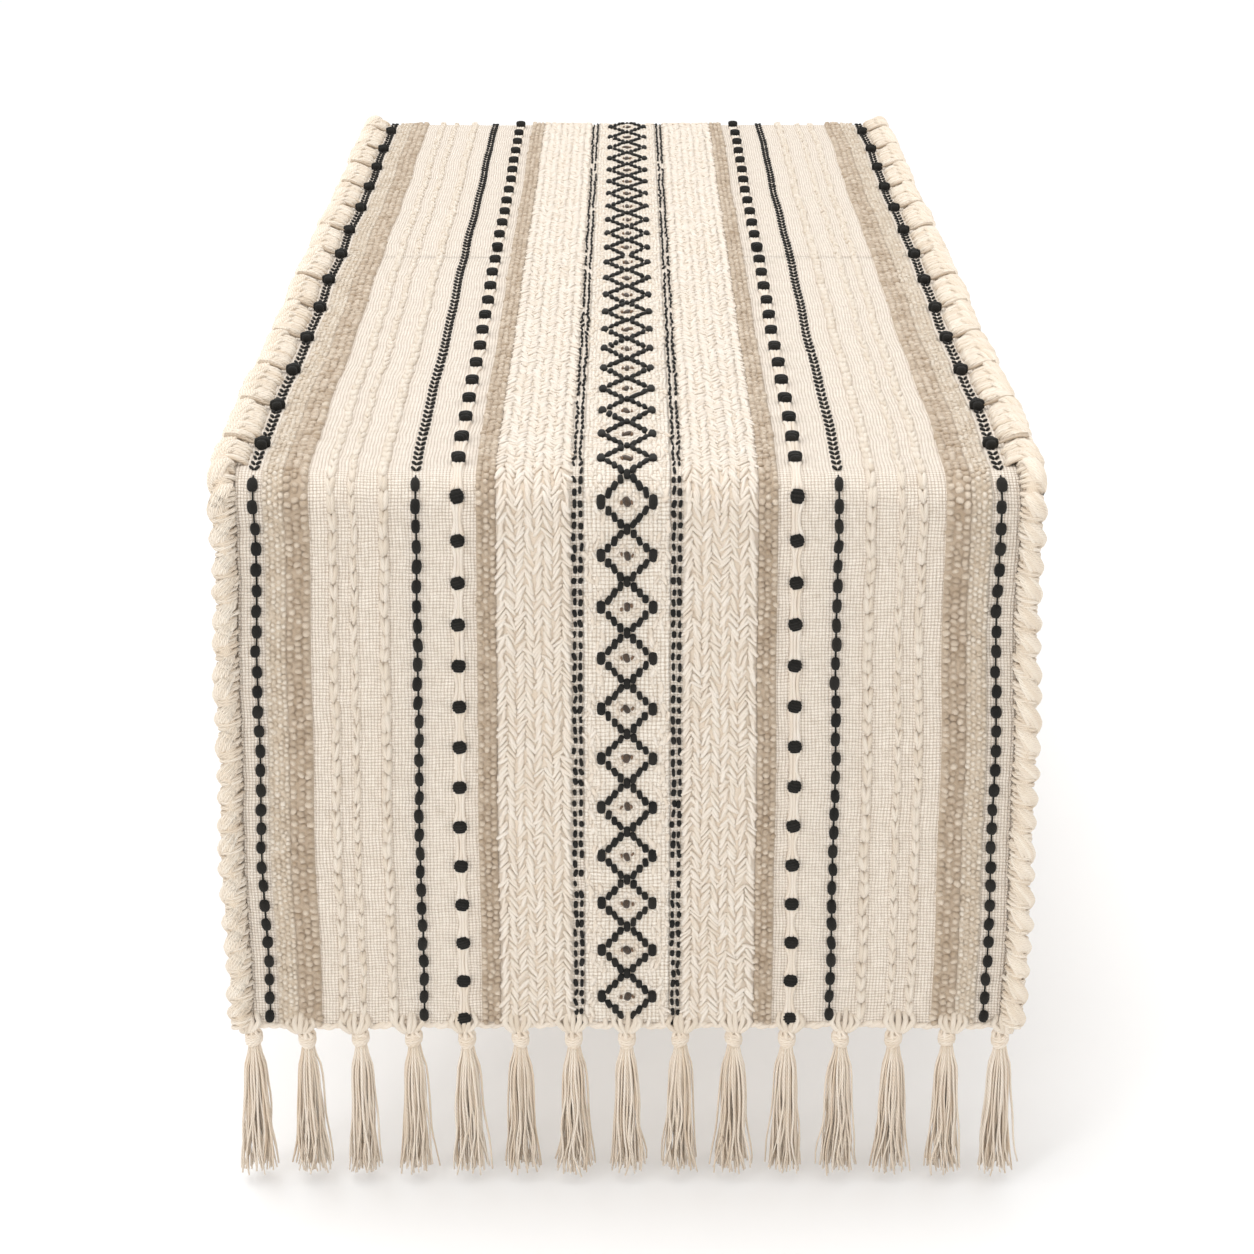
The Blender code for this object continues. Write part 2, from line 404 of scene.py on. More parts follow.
def linear(red, green, blue):
    """Scene-linear colour of an sRGB colour in 0 to 255."""
    c = np.array([red, green, blue]) / 255
    return tuple(float(x) for x in np.where(c <= 0.04045, c / 12.92, ((c + 0.055) / 1.055) ** 2.4))


def yarn(name, light, dark, twist=1.4 * MM, strands=2, fuzz=0.35, sheen=0.25):
    """Spun yarn: slanted ply grooves along the UV map, painted darker as painted shade, fine
    fibres and a shade for each stitch.
    """
    dye = Dye(name, 0.88, sheen)
    along, around = dye.uv()
    shade = dye.node("ShaderNodeAttribute")
    shade.attribute_name = "shade"
    slant = dye.maths("ADD", dye.maths("MULTIPLY", along, 1 / twist),
                      dye.maths("MULTIPLY", around, strands / twist))
    ply = dye.maths("ABSOLUTE", dye.maths("SINE", dye.maths("MULTIPLY", slant, math.pi)))
    groove = dye.maths("POWER", ply, 0.45)
    here = dye.here()
    fibre = dye.noise(here, 1900.0, 3.0, 0.7)
    patch = dye.noise(here, 130.0, 2.0)
    mixed = dye.maths("ADD", dye.maths("MULTIPLY", shade.outputs["Fac"], 0.55),
                      dye.maths("MULTIPLY", patch, 0.45))
    # Painted shade: the colour darkens in the ply grooves.
    mixed = dye.maths("MULTIPLY", mixed, dye.maths("MULTIPLY_ADD", groove, 0.45, 0.55))
    mixed = dye.maths("ADD", mixed, dye.maths("MULTIPLY", dye.maths("SUBTRACT", fibre, 0.5), fuzz))
    relief = dye.maths("ADD", groove, dye.maths("MULTIPLY", fibre, 0.5))
    return dye.finish(dye.between(mixed, dark, light), relief, 0.25 * MM)


def plain_weave(name, light, dark, pitch=1.25 * MM, slubs=1.0):
    """Plain weave in UV metres.

    With a = |sin u| and b = |cos s|, a cell where the warp is on top has the height a b^0.35, and
    one where the weft is on top a^0.35 b. The cells take turns and each thread has slubs. The
    colour is painted lighter where a thread is high and darker where it is low, as painted
    shading, and the gaps where four threads meet, where a + b is small, are painted dark as
    painted shade.
    """
    dye = Dye(name, 0.92, 0.2)
    across, along = dye.uv()
    here = dye.here()
    sway = dye.maths("MULTIPLY", dye.maths("SUBTRACT", dye.noise(here, 60.0), 0.5), 2.0 * MM)
    u = dye.maths("ADD", across, sway)
    s = dye.maths("SUBTRACT", along, sway)
    wave_u = dye.maths("SINE", dye.maths("MULTIPLY", u, math.pi / pitch))
    wave_s = dye.maths("COSINE", dye.maths("MULTIPLY", s, math.pi / pitch))
    both = dye.maths("MULTIPLY", wave_u, wave_s)
    a, b = dye.maths("ABSOLUTE", wave_u), dye.maths("ABSOLUTE", wave_s)
    warp_top = dye.maths("MULTIPLY", a, dye.maths("POWER", b, 0.35))
    weft_top = dye.maths("MULTIPLY", dye.maths("POWER", a, 0.35), b)
    warp_is_up = dye.maths("GREATER_THAN", both, 0.0)
    lift = dye.maths("SUBTRACT", warp_top, weft_top)
    height = dye.maths("MULTIPLY_ADD", warp_is_up, lift, weft_top)
    coarse, fine = 150, 1100
    across_grain = dye.stretched(
        dye.maths("MULTIPLY", across, coarse), dye.maths("MULTIPLY", along, fine)
    )
    along_grain = dye.stretched(
        dye.maths("MULTIPLY", across, fine), dye.maths("MULTIPLY", along, coarse)
    )
    threads = dye.maths("ADD", dye.noise(across_grain, 1.0), dye.noise(along_grain, 1.0))
    fibre = dye.noise(here, 1500.0, 3.0, 0.7)
    slub = dye.maths("MULTIPLY_ADD", threads, 0.5, -0.5)
    hole_shade = dye.maths("SMOOTH_MIN", dye.maths("MULTIPLY", dye.maths("ADD", a, b), 1.2), 1.0, 0.2)
    # Painted shading: high thread tops are painted lighter, low thread sides darker.
    amount = dye.maths("MULTIPLY_ADD", height, 0.45, 0.46)
    amount = dye.maths("ADD", amount, dye.maths("MULTIPLY", slub, 0.9 * slubs))
    fleck = dye.maths("MULTIPLY", dye.maths("SUBTRACT", fibre, 0.5), 0.3)
    amount = dye.maths("ADD", amount, fleck)
    # Painted shade: the gaps where four threads meet are darkened.
    amount = dye.maths("MULTIPLY", amount, dye.maths("MULTIPLY_ADD", hole_shade, 0.85, 0.15))
    amount = dye.maths("MINIMUM", dye.maths("MAXIMUM", amount, 0.0), 1.0)
    fuzz = dye.maths("MULTIPLY", dye.maths("ADD", slub, fibre), 0.6 * slubs)
    relief = dye.maths("ADD", height, fuzz)
    return dye.finish(dye.between(amount, dark, light), relief, 0.4 * MM)


GROUND = plain_weave("ground_cloth", linear(253, 243, 230), linear(168, 143, 114))
SLUBBY = plain_weave("slubby_cloth", linear(252, 243, 230), linear(176, 152, 124), 1.6 * MM, 1.8)
CREAM = yarn("cream_yarn", linear(255, 247, 236), linear(230, 210, 185))
SLUB = yarn("slub_yarn", linear(250, 240, 226), linear(214, 194, 168))
TAN = yarn("tan_yarn", linear(240, 225, 205), linear(172, 147, 118))
BOUCLE = yarn("boucle_yarn", linear(250, 240, 225), linear(203, 182, 155))
BLACK = yarn("black_yarn", linear(42, 39, 34), linear(8, 8, 6), sheen=0.05, fuzz=0.5)
BROWN = yarn("brown_yarn", linear(142, 110, 80), linear(24, 19, 15))
LACING = yarn("lacing_cord", linear(255, 246, 232), linear(214, 190, 160), twist=1.6 * MM)
FLAX = yarn("tassel_yarn", linear(253, 244, 231), linear(219, 195, 166), twist=1.8 * MM)


# ---------------------------------------------------------------- pieces of the cloth


BEND_START = FLAT_HALF + 0.3 * BEND_LENGTH
TOP_STRETCH = 1.45  # the weaving is beaten looser along the tabletop, so its motifs are longer


def spaced(pitch, start=0.0, stop=None, jitter=0.0):
    """Places along the cloth from the middle line to the hem, one pitch apart."""
    stop = HALF_LENGTH - HEM_GAP if stop is None else stop
    places = np.arange(start + pitch / 2, stop, pitch)
    return places + DRAW.uniform(-jitter, jitter, len(places))


def motifs(pitch):
    """Middles and lengths of a motif repeated along the cloth: longer ones as far as the bend."""
    on_top = round(BEND_START / (TOP_STRETCH * pitch))
    long_pitch = BEND_START / on_top
    top = (np.arange(on_top) + 0.5) * long_pitch
    hanging = np.arange(BEND_START + pitch / 2, HALF_LENGTH - HEM_GAP, pitch)
    lengths = np.concatenate([np.full(len(top), long_pitch), np.full(len(hanging), pitch)])
    return np.concatenate([top, hanging]), lengths


def both_sides(u, *arrays):
    """The same places on the right and, mirrored, on the left."""
    doubled = [np.concatenate([u, -u])]
    doubled += [np.concatenate([a, a]) for a in arrays]
    return doubled


def packed(end, *pieces):
    """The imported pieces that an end's looks stand for, with the tabletop's at the front end."""
    runs = (end, "top") if end == "front" else (end,)
    return [f"{run}_{piece}" for piece in pieces for run in runs]


def cloth_piece(name, shape, end, slot, *materials, nodes=()):
    """Finishes a piece that crosses the bend: makes its object, hides the imported pieces it
    stands for and fixes its place in its points.
    """
    obj = shape.object(name, *materials)
    if nodes:
        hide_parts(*nodes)
    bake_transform(obj)
    return obj


def woven_cloth(end):
    """The ground cloth: a slab from the tabletop or the inner face up to the cloth's face."""
    shape = Shape()
    u = np.linspace(-CLOTH_HALF, CLOTH_HALF, 81)
    s = np.concatenate([
        np.linspace(0, FLAT_HALF, 75, endpoint=False),
        np.linspace(FLAT_HALF, FOLD, 16, endpoint=False),
        np.linspace(FOLD, HALF_LENGTH - 1.5 * MM, 64),
    ])
    across, along = np.meshgrid(u, s, indexing="ij")
    ribs = 0.12 * MM * np.sin(across * 2 * math.pi / (6.2 * MM))
    edge = 0.25 * MM * np.sin(along * 310 + across * 40)
    top = CLOTH - 0.15 * MM + ribs + 0.3 * edge
    add_sheet(shape, end, u, s, top, np.full_like(top, 0.2 * MM))
    return cloth_piece(f"{end}_woven_cloth", shape, end, "ground_cloth", GROUND,
                       nodes=packed(end, "cloth"))


def band_base(shape, end, low, high, sides=(-1, 1)):
    """A thin slab under a raised band, so that its colour shows between its yarns, at the low
    shade 0.25 as painted shade in the crevices.
    """
    s = np.linspace(0, HALF_LENGTH - 3 * MM, 150)
    for side in sides:
        u = np.sort(side * np.linspace(low, high, 4))
        top = np.full((len(u), len(s)), CLOTH + 0.3 * MM)
        # The low shade 0.25 is painted shade in the crevices between the band's yarns.
        add_sheet(shape, end, u, s, top, top - 0.8 * MM, 0.25)


def herringbone(end, side):
    """Eight half columns of slim diagonal yarns, leaning in and out by turns."""
    shape = Shape()
    sign = 1 if side == "right" else -1
    low, high = HERRINGBONE
    columns = 8
    width = (high - low) / columns
    facing = -ENDS[end]
    band_base(shape, end, low, high, [sign])
    for column in range(columns):
        s = spaced(2.05 * MM, jitter=0.7 * MM)
        count = len(s)
        lean = (1 if column % 2 else -1) * facing * sign
        u = low + width * (column + 0.5) + DRAW.uniform(-0.6 * MM, 0.6 * MM, count)
        turn = lean * (math.radians(60) + DRAW.normal(0, 0.2, count))
        thick = DRAW.uniform(1.3 * MM, 2.0 * MM, count)
        flat = np.where(s < FLAT_HALF, 0.5, 1.0)
        add_puffs(shape, end, sign * u, s, CLOTH + (0.3 + DRAW.uniform(0, 0.4, count) * flat) * MM,
                  turn, DRAW.uniform(5.4 * MM, 7.4 * MM, count), thick * (1.3 - 0.3 * flat),
                  1.1 * thick * (0.2 + 0.8 * flat), DRAW.uniform(0.45, 1.0, count), 3, 6, 0.45)
    return cloth_piece(f"{end}_{side}_herringbone", shape, end, "herringbone_yarn", CREAM,
                       nodes=packed(end, f"{side}_herringbone_band"))


def basket_columns(shape, end, low, high, columns, pitch, swell):
    """Columns of puffs between two distances from the middle line, by turns half a pitch on."""
    width = (high - low) / columns
    band_base(shape, end, low, high)
    for column in range(columns):
        s = spaced(pitch, start=(column % 2) * pitch / 2, jitter=0.2 * pitch)
        u = low + width * (column + 0.5) + DRAW.normal(0, 0.1 * width, len(s))
        u, s = both_sides(u, s)
        count = len(s)
        size = DRAW.uniform(0.75, 1.15, count)
        add_puffs(shape, end, u, s, CLOTH + DRAW.uniform(0.1, 0.5, count) * MM,
                  DRAW.normal(0, 0.5, count), 1.0 * width * size,
                  0.98 * pitch * DRAW.uniform(0.75, 1.1, count),
                  swell * size * np.where(s < FLAT_HALF, 0.7, 1),
                  DRAW.uniform(0, 1, count), 3, 6, 0.6)


def inner_tan_weave(end):
    """The inner tan bands: three columns of chunky puffs."""
    shape = Shape()
    basket_columns(shape, end, *INNER_TAN, 3, 2.7 * MM, 3.0 * MM)
    return cloth_piece(f"{end}_inner_tan_weave", shape, end, "tan_yarn", TAN,
                       nodes=packed(end, "left_inner_tan_band", "right_inner_tan_band"))


OUTER_TAN_MIDDLE = OUTER_TAN[0] + 0.54 * (OUTER_TAN[1] - OUTER_TAN[0])


def outer_tan_weave(end):
    """The inner half of the outer tan bands: three columns of chunky puffs."""
    shape = Shape()
    basket_columns(shape, end, OUTER_TAN[0], OUTER_TAN_MIDDLE, 3, 2.8 * MM, 3.1 * MM)
    return cloth_piece(f"{end}_outer_tan_weave", shape, end, "tan_yarn", TAN,
                       nodes=packed(end, "left_outer_tan_band", "right_outer_tan_band"))


def boucle_strip(end):
    """The outer half of the outer tan band: fine loops on the ground cloth."""
    shape = Shape()
    basket_columns(shape, end, OUTER_TAN_MIDDLE, OUTER_TAN[1], 4, 2.3 * MM, 2.2 * MM)
    return cloth_piece(f"{end}_boucle_strip", shape, end, "tan_yarn", BOUCLE)


DIAMOND_REACH = 9.8 * MM
DIAMOND_PITCH = 20.4 * MM


def diamond_ground(end):
    """A low slab of slubby cream weave: product of two sines whose phases wander."""
    shape = Shape()
    u = np.linspace(-DIAMOND_HALF, DIAMOND_HALF, 33)
    s = np.arange(0.0, HALF_LENGTH - 3 * MM, 1.3 * MM)
    across, along = np.meshgrid(u, s, indexing="ij")
    phase = 1.4 * np.sin(along * 190 + across * 60) + 1.1 * np.sin(along * 71 - across * 130)
    weave = np.abs(np.sin(across * math.pi / (2.6 * MM) + phase) *
                   np.sin(along * math.pi / (3.3 * MM) + 0.6 * phase))
    edge = smooth_step((DIAMOND_HALF - np.abs(across)) / (1.2 * MM))
    top = CLOTH + (0.1 + 0.55 * np.sqrt(weave) * edge) * MM
    # Painted shading: the shade follows the weave's height, lighter on its high parts, darker in
    # its hollows.
    shade = 0.35 + 0.5 * weave.ravel()
    add_sheet(shape, end, u, s, top, np.full_like(top, CLOTH - 0.6 * MM),
              np.concatenate([shade, shade]))
    return cloth_piece(f"{end}_diamond_ground", shape, end, "diamond_band", SLUBBY,
                       nodes=packed(end, "diamond_band"))


def diamonds():
    """Middles and lengths of the diamonds, down to the last one that fits above the hem."""
    middles, lengths = motifs(DIAMOND_PITCH)
    inside = middles + lengths * 0.2 < HALF_LENGTH
    return middles[inside], lengths[inside]


def diamond_slubs(end):
    """Soft cream slubs scattered beside the diamonds, and a ring of them inside each one."""
    shape = Shape()
    count = int(HALF_LENGTH / (1.5 * MM))
    s = np.linspace(2 * MM, HALF_LENGTH - 4 * MM, count) + DRAW.normal(0, 1.0 * MM, count)
    u, s = both_sides(DIAMOND_HALF - DRAW.uniform(0.6, 8.0, count) * MM, s)
    n = len(u)
    add_puffs(shape, end, u, np.clip(s, 1 * MM, HALF_LENGTH - 3 * MM), CLOTH + 0.4 * MM,
              math.pi / 2 + DRAW.normal(0, 0.35, n), DRAW.uniform(2.4, 5.5, n) * MM,
              DRAW.uniform(1.2, 2.2, n) * MM, DRAW.uniform(1.0, 1.7, n) * MM,
              DRAW.uniform(0.3, 1, n), 3, 6, 0.6)
    middles, lengths = diamonds()
    n = len(middles)
    for k in range(8):
        turn = 2 * math.pi * (k + 0.5) / 8
        add_puffs(shape, end, 4.0 * MM * math.cos(turn) + DRAW.normal(0, 0.4 * MM, n),
                  middles + 0.19 * lengths * math.sin(turn), CLOTH + 0.45 * MM,
                  turn + math.pi / 2 + DRAW.normal(0, 0.5, n), 2.6 * MM, 1.6 * MM, 1.4 * MM,
                  DRAW.uniform(0.2, 1, n), 3, 6, 0.6)
    return cloth_piece(f"{end}_diamond_slubs", shape, end, "herringbone_yarn", CREAM)


def diamond_stitches(end):
    """Black oblong stitches: three stepped along each side of a diamond, one at each side tip."""
    shape = Shape()
    middles, lengths = diamonds()
    steps = np.array([0.2, 0.45, 0.7])
    for way_u in (-1, 1):
        for way_s in (-1, 1):
            t, m = (x.ravel() for x in np.meshgrid(steps, middles))
            reach = np.repeat(lengths, len(steps)) / 2
            u = way_u * (0.6 * MM + (DIAMOND_REACH - 0.9 * MM) * t)
            s = m + way_s * reach * (1 - t)
            keep = s < HALF_LENGTH - HEM_GAP
            u, s, reach = u[keep], s[keep], reach[keep]
            n = len(u)
            lean = math.pi / 2 + way_u * way_s * 0.22
            add_puffs(shape, end,
                      u + DRAW.normal(0, 0.1 * MM, n), s + DRAW.normal(0, 0.15 * MM, n),
                      CLOTH + 0.8 * MM, lean + DRAW.normal(0, 0.14, n),
                      reach * DRAW.uniform(0.34, 0.42, n), DRAW.uniform(2.1, 2.6, n) * MM,
                      1.9 * MM, DRAW.uniform(0, 1, n), 4, 6, 0.3)
        n = len(middles)
        add_puffs(shape, end, np.full(n, way_u * (DIAMOND_REACH - 0.2 * MM)), middles,
                  CLOTH + 0.85 * MM, math.pi / 2, lengths * 0.27, 3.3 * MM, 2.0 * MM,
                  DRAW.uniform(0, 1, n), 4, 6, 0.4)
    joins = middles - lengths / 2
    joins = joins[joins > 1 * MM]
    add_puffs(shape, end, np.zeros(len(joins)), joins, CLOTH + 0.9 * MM, math.pi / 2,
              4.6 * MM, 2.5 * MM, 2.0 * MM, 0.5, 4, 6, 0.36)
    return cloth_piece(f"{end}_diamond_stitches", shape, end, "black_yarn", BLACK)


def diamond_hearts(end):
    """A small dark brown stitch in the middle of each diamond, between two short tan ones."""
    shape = Shape()
    middles, lengths = diamonds()
    n = len(middles)
    for off, size, shade in ((0.0, 2.7, 0.0), (-1.9, 1.2, 1.0), (1.9, 1.2, 1.0)):
        add_puffs(shape, end, off * MM + DRAW.normal(0, 0.2 * MM, n),
                  middles + DRAW.normal(0, 0.3 * MM, n), CLOTH + 0.75 * MM,
                  math.pi / 2 + DRAW.normal(0, 0.35, n), 0.16 * lengths * size / 2.3,
                  size * MM * DRAW.uniform(0.7, 1.1, n), 1.7 * MM, shade, 4, 6, 0.5)
    return cloth_piece(f"{end}_diamond_hearts", shape, end, "tan_yarn", BROWN)


def dotted_lines(end):
    """Two columns of black dashes on each side of the diamonds, a few of them missing."""
    shape = Shape()
    for u0 in DOTTED_LINES:
        s, lengths = motifs(4.3 * MM)
        s = s + DRAW.uniform(-0.4, 0.4, len(s)) * MM
        kept = DRAW.uniform(0, 1, len(s)) > 0.05
        u, s, lengths = both_sides(np.full(kept.sum(), u0), s[kept], lengths[kept])
        n = len(u)
        low = np.where(s < BEND_START, 0.7, 1.0)
        add_puffs(shape, end, u + DRAW.normal(0, 0.18 * MM, n), s, CLOTH + 0.35 * MM,
                  math.pi / 2 + DRAW.normal(0, 0.14, n), lengths * DRAW.uniform(0.55, 0.85, n),
                  DRAW.uniform(1.3, 1.95, n) * MM * low, 1.7 * MM * low,
                  DRAW.uniform(0, 1, n), 4, 6, 0.42)
    return cloth_piece(f"{end}_dotted_lines", shape, end, "black_yarn", BLACK)


KNOT_PITCH = 16.6 * MM


def wound_knots(end):
    """Round black knots: a dome with five turns of yarn wound over it."""
    shape = Shape()
    s, lengths = motifs(KNOT_PITCH)
    u, s, tall = both_sides(np.full(len(s), KNOT_ROW), s, (lengths / KNOT_PITCH) ** 0.9)
    n = len(u)
    tilt = DRAW.uniform(-0.3, 0.3, n)
    lift = 1.5 * MM * (tall - tall.min()) / np.ptp(tall)
    add_puffs(shape, end, u, s, CLOTH + 0.7 * MM + 0.5 * lift, tilt, 5.2 * MM, 5.0 * MM * tall,
              3.4 * MM + lift, 0.2, 7, 12, 0.7)
    for turn in (-2, -1, 0, 1, 2):
        off = turn * 1.0 * MM * tall
        wide = 2 * math.sqrt(2.8**2 - turn**2) * MM
        add_puffs(shape, end, u - np.sin(tilt) * off, s + np.cos(tilt) * off,
                  CLOTH + 1.3 * MM - 0.14 * MM * turn**2 + 0.7 * lift, tilt, wide,
                  1.2 * MM * tall, 2.6 * MM + 0.6 * lift, DRAW.uniform(0, 1, n), 6, 6, 0.55)
    return cloth_piece(f"{end}_wound_knots", shape, end, "black_yarn", BLACK)


def float_yarns(end):
    """Cream yarns floating from each wound knot to the next, bowed apart where they leave it."""
    shape = Shape()
    middles = motifs(KNOT_PITCH)[0]
    s = (middles[:-1] + middles[1:]) / 2
    half = (middles[1:] - middles[:-1]) / 2
    t = np.linspace(-1, 1, 11)
    for bow in (-1.25, 0.0, 1.25):
        u, mid, reach = both_sides(np.full(len(s), KNOT_ROW), s, half)
        sway = DRAW.normal(0, 0.2, (len(u), 1)) * MM
        across = u[:, None] + bow * MM * (0.75 + 0.5 * t**2) + sway * np.cos(2 * t)
        along = mid[:, None] + (reach[:, None] - 1.9 * MM) * t
        height = CLOTH + (0.05 + 0.7 * t**2 * (1 - t**8)) * MM
        path = laid(across, along, height + 0 * across, end)
        add_tubes(shape, path, 0.9 * MM * (0.75 + 0.35 * t**2), 6, DRAW.uniform(0.3, 0.9, len(u)))
    return cloth_piece(f"{end}_float_yarns", shape, end, "herringbone_yarn", CREAM)


def beaded_row(end, name, u0, pitch, length, width):
    """Black beads joined by a thin thread on the hanging end, and chain stitches on the top."""
    shape = Shape()
    facing = -ENDS[end]
    s = spaced(pitch, start=BEND_START, jitter=0.25 * MM)
    u, s = both_sides(np.full(len(s), u0), s)
    n = len(u)
    add_puffs(shape, end, u + DRAW.normal(0, 0.15 * MM, n), s, CLOTH + 0.8 * MM,
              math.pi / 2 + DRAW.normal(0, 0.08, n), DRAW.uniform(0.93, 1.07, n) * length,
              DRAW.uniform(0.95, 1.1, n) * width, 3.0 * MM, DRAW.uniform(0, 1, n), 5, 8, 0.55)
    line = np.arange(BEND_START, HALF_LENGTH - 3 * MM, 1.6 * MM)
    across = np.stack([np.full(len(line), u0), np.full(len(line), -u0)])
    path = laid(across, np.stack([line, line]), CLOTH + 0.2 * MM, end)
    add_tubes(shape, path, 0.36 * MM, 5, 0.3)
    chain = spaced(5.6 * MM, stop=BEND_START, jitter=0.25 * MM)
    for way in (-1, 1):
        u, s = both_sides(np.full(len(chain), u0), chain)
        n = len(u)
        add_puffs(shape, end, u + way * 1.0 * MM, s, CLOTH + 0.3 * MM,
                  math.pi / 2 + facing * way * 0.45 + DRAW.normal(0, 0.06, n), 3.5 * MM, 1.25 * MM,
                  1.3 * MM, DRAW.uniform(0, 1, n), 5, 6, 0.55)
    return cloth_piece(f"{end}_{name}", shape, end, "black_yarn", BLACK)


def slub_ribs(end):
    """Thick-and-thin cream cords: leaf-shaped puffs of two strands, pinched where they meet."""
    shape = Shape()
    for u0, radius in SLUB_RIBS:
        for side in (-1, 1):
            gaps = DRAW.uniform(5.0 * MM, 7.6 * MM, 130)
            starts = np.concatenate([[0], np.cumsum(gaps)])
            middle, gap = (starts[:-1] + starts[1:]) / 2, gaps
            keep = starts[1:] < HALF_LENGTH - 2 * MM
            middle, gap = middle[keep], gap[keep]
            n = len(middle)
            low = np.where(middle < FLAT_HALF, 0.75, 1.0)
            wander = 0.3 * MM * np.sin(middle * 240 + u0 * 900)
            for strand in (-1, 1):
                add_puffs(shape, end, side * u0 + wander + strand * 0.28 * radius,
                          middle + DRAW.normal(0, 0.35 * MM, n), CLOTH + 0.1 * MM,
                          math.pi / 2 + DRAW.normal(0, 0.08, n) + strand * 0.12,
                          gap * 1.12, 1.15 * radius * DRAW.uniform(0.85, 1.2, n),
                          1.7 * radius * low, DRAW.uniform(0.4, 1, n), 5, 6, 0.75)
    return cloth_piece(f"{end}_slub_ribs", shape, end, "herringbone_yarn", SLUB)


TIES = 13


def tie_places():
    """Ties along the tabletop from the middle line to the bend, with one on the middle line."""
    return np.arange(TIES // 2 + 1) * FLAT_HALF / (TIES / 2)


def edge_ties(end):
    """On the top, thin tan strands from each side to a black knot on the outer beaded row."""
    shape = Shape()
    s = tie_places()[0 if end == "front" else 1:]
    t = np.linspace(0, 1, 10)
    for strand in (-1, 0, 1):
        u, mid = both_sides(np.full(len(s), OUTER_BEADS + 1.5 * MM), s)
        out = np.sign(u)[:, None] * t * (CORD_MIDDLE - OUTER_BEADS + 0.8 * MM)
        along = mid[:, None] + strand * 1.3 * MM * t + DRAW.normal(0, 0.3, (len(u), 1)) * MM * t
        along = np.maximum(along, 0.5 * MM) if end == "back" else along
        height = CLOTH + (1.4 + 3.2 * smooth_step(t / 0.8)) * MM
        add_tubes(shape, laid(u[:, None] + out, along, height + 0 * out, end), 0.6 * MM, 5,
                  DRAW.uniform(0, 0.6, len(u)))
    return cloth_piece(f"{end}_edge_ties", shape, end, "tan_yarn", TAN)


def tie_knots(end):
    """Black knots at the ties: three short turns of yarn side by side."""
    shape = Shape()
    s = tie_places()[0 if end == "front" else 1:]
    u, s = both_sides(np.full(len(s), OUTER_BEADS), s)
    for off in (-2.4, 0.0, 2.4):
        add_puffs(shape, end, u, s + off * MM, CLOTH + 1.5 * MM, DRAW.uniform(-0.3, 0.3, len(u)),
                  (6.4 - abs(off)) * MM, 3.2 * MM, (4.9 - 0.3 * abs(off)) * MM, 0.4, 5, 7, 0.5)
    return cloth_piece(f"{end}_tie_knots", shape, end, "black_yarn", BLACK)


def tie_pinch(s):
    """One between ties, falling to zero at a tie on the tabletop; one everywhere else."""
    nearest = np.min(np.abs(np.asarray(s)[..., None] - tie_places()), axis=-1)
    return 1 - np.exp(-((nearest / (5 * MM)) ** 2)) * (np.asarray(s) < FOLD)


def edge_wraps(shape, end, sign, pitch, thick, slant, inner, low):
    """Single strands wound once over the cord from the underside to the cloth."""
    middles = spaced(pitch, start=-pitch, stop=HALF_LENGTH - 1 * MM, jitter=0.25 * pitch)
    n = len(middles)
    t = np.linspace(0, 1, 9)
    turn = np.radians(-100) + np.radians(250) * t
    pinch = tie_pinch(middles)[:, None]
    radius = (low + 0.4 * MM * DRAW.uniform(0, 1, (n, 1))) * (0.8 + 0.2 * pinch)
    reach = inner + DRAW.uniform(0, 1.6, (n, 1)) * MM
    reach = reach + 3.8 * MM * (middles < FLAT_HALF)[:, None] * pinch
    over = smooth_step((t - 0.55) / 0.45)
    across = CORD_MIDDLE + radius * np.cos(turn) * (1 - over) - reach * over
    height = CORD_RADIUS * 0.9 + radius * np.sin(turn)
    landing = CLOTH + 0.15 * MM + 1.6 * MM * np.sin(math.pi * over)
    height = np.where(t > 0.55, landing + (height - landing) * (1 - over), height)
    height = np.maximum(height, 0.6 * MM)
    along = middles[:, None] - slant * (t - 0.5) + DRAW.normal(0, 0.3, (n, 1)) * MM * t
    along = np.clip(along, 0.3 * MM, HALF_LENGTH - 0.6 * MM)
    add_tubes(shape, laid(sign * across, along, height, end), thick, 6,
              DRAW.uniform(0.3, 1, n), side_way=(0.3, 0.2, 0.93))


